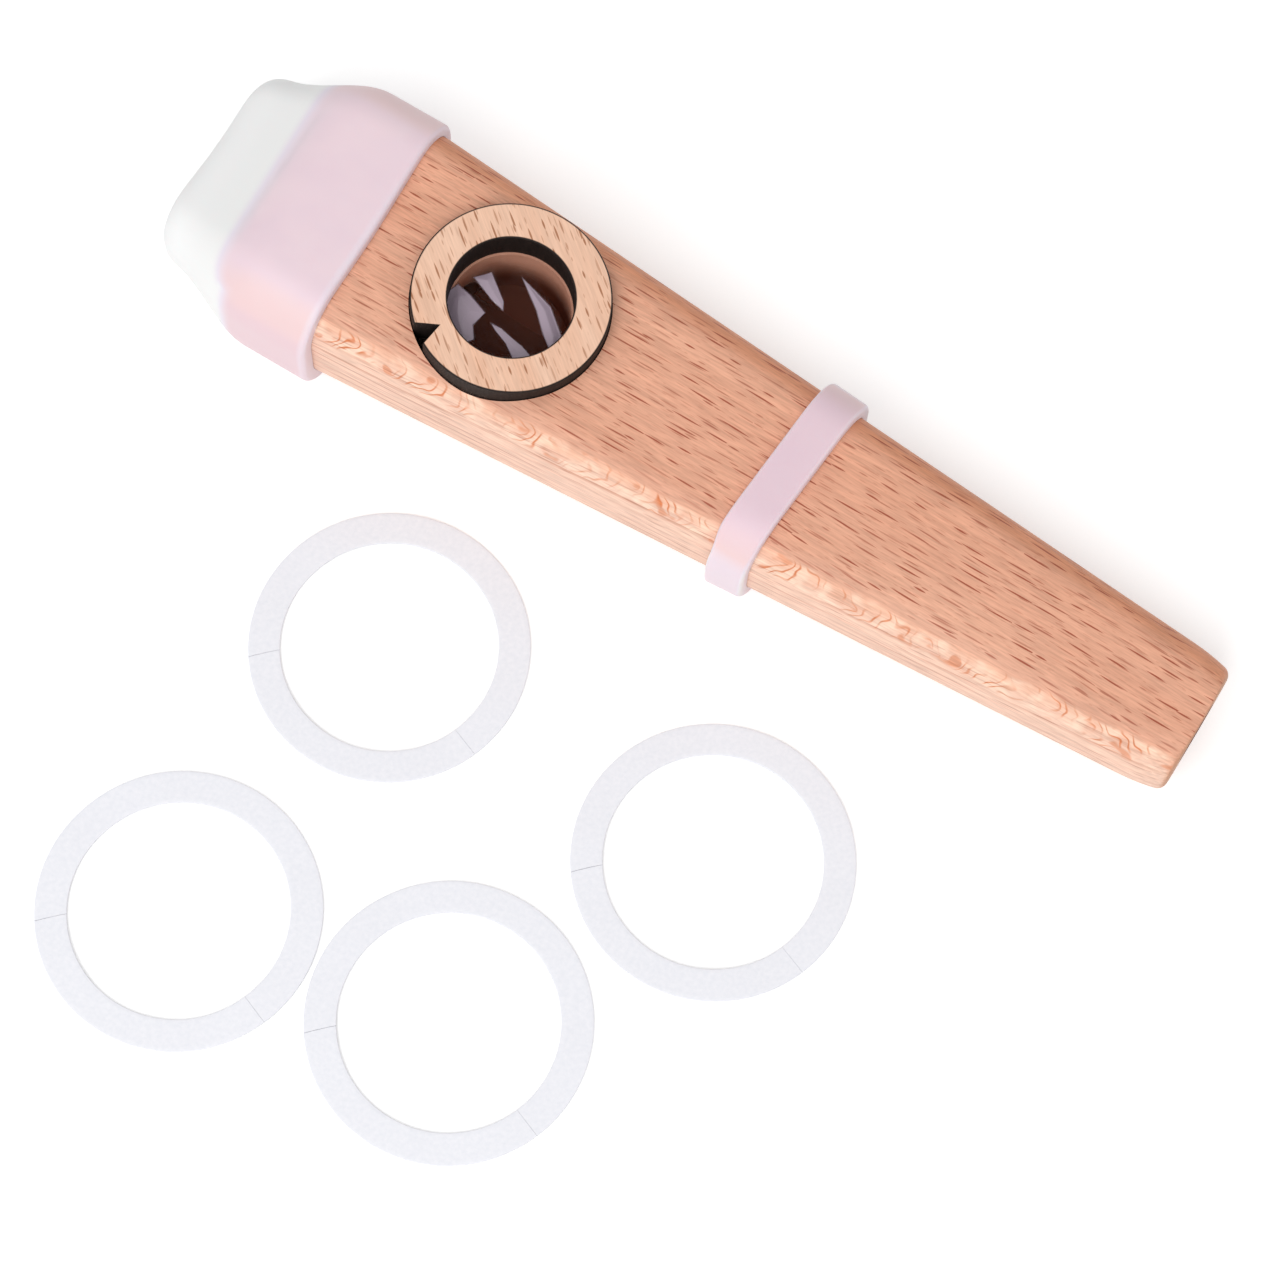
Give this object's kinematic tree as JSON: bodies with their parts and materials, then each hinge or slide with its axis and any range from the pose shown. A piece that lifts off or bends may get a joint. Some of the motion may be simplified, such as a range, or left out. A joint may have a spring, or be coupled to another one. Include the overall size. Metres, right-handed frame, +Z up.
{
  "type": "wooden kazoo",
  "caption": "Tapered beech kazoo with a soft slotted mouthpiece, a wooden ring over its clear membrane, a soft grip band and loose spare membranes.",
  "frame": {"origin": "on the table, in the middle of the mouthpiece's flat underside, 8.8 mm from the wood's mouth end", "axes": "+X along the bore from the mouth to the narrow end, +Z up, out of the face with the cap ring"},
  "size_m": [0.1259, 0.1044, 0.0186],
  "materials": {
    "beech": "sanded and waxed, satin",
    "ring_wood": "sanded faces, laser-charred walls",
    "silicone": "translucent, soft matt",
    "clear_film": "clear gloss film, crinkled",
    "spare_film": "clear gloss film",
    "paper": "uncoated white"
  },
  "bodies": {
    "kazoo_body": {"body": "beech"},
    "mouthpiece": {"mouthpiece": "silicone"},
    "membrane": {"membrane": "clear_film"},
    "cap_ring": {"cap_ring": "ring_wood"},
    "grip_band": {"grip_band": "silicone"},
    "spare_1": {"spare_1_film": "spare_film", "spare_1_paper_long": "paper", "spare_1_paper_short": "paper"},
    "spare_2": {"spare_2_film": "spare_film", "spare_2_paper_long": "paper", "spare_2_paper_short": "paper"},
    "spare_3": {"spare_3_film": "spare_film", "spare_3_paper_long": "paper", "spare_3_paper_short": "paper"},
    "spare_4": {"spare_4_film": "spare_film", "spare_4_paper_long": "paper", "spare_4_paper_short": "paper"}
  },
  "joints": [
    {"name": "cap_lift", "type": "slide", "parent": "kazoo_body", "child": "cap_ring", "axis": [0.0418, 0, 0.9991], "range_m": [0, 0.012]},
    {"name": "membrane_lift", "type": "slide", "parent": "kazoo_body", "child": "membrane", "axis": [0.0418, 0, 0.9991], "range_m": [0, 0.006]},
    {"name": "mouthpiece_pull", "type": "slide", "parent": "kazoo_body", "child": "mouthpiece", "axis": [-1, 0, 0], "range_m": [0, 0.018]},
    {"name": "band_slide", "type": "slide", "parent": "kazoo_body", "child": "grip_band", "axis": [1, 0, 0], "range_m": [0, 0.058]},
    {"name": "spare_1_lift", "type": "slide", "parent": "kazoo_body", "child": "spare_1", "axis": [0, 0, 1], "range_m": [0, 0.03]},
    {"name": "spare_2_lift", "type": "slide", "parent": "kazoo_body", "child": "spare_2", "axis": [0, 0, 1], "range_m": [0, 0.03]},
    {"name": "spare_3_lift", "type": "slide", "parent": "kazoo_body", "child": "spare_3", "axis": [0, 0, 1], "range_m": [0, 0.03]},
    {"name": "spare_4_lift", "type": "slide", "parent": "kazoo_body", "child": "spare_4", "axis": [0, 0, 1], "range_m": [0, 0.03]}
  ],
  "couplings": [
    {"joint": "membrane_lift", "follows": "cap_lift", "ratio": 0.5}
  ]
}
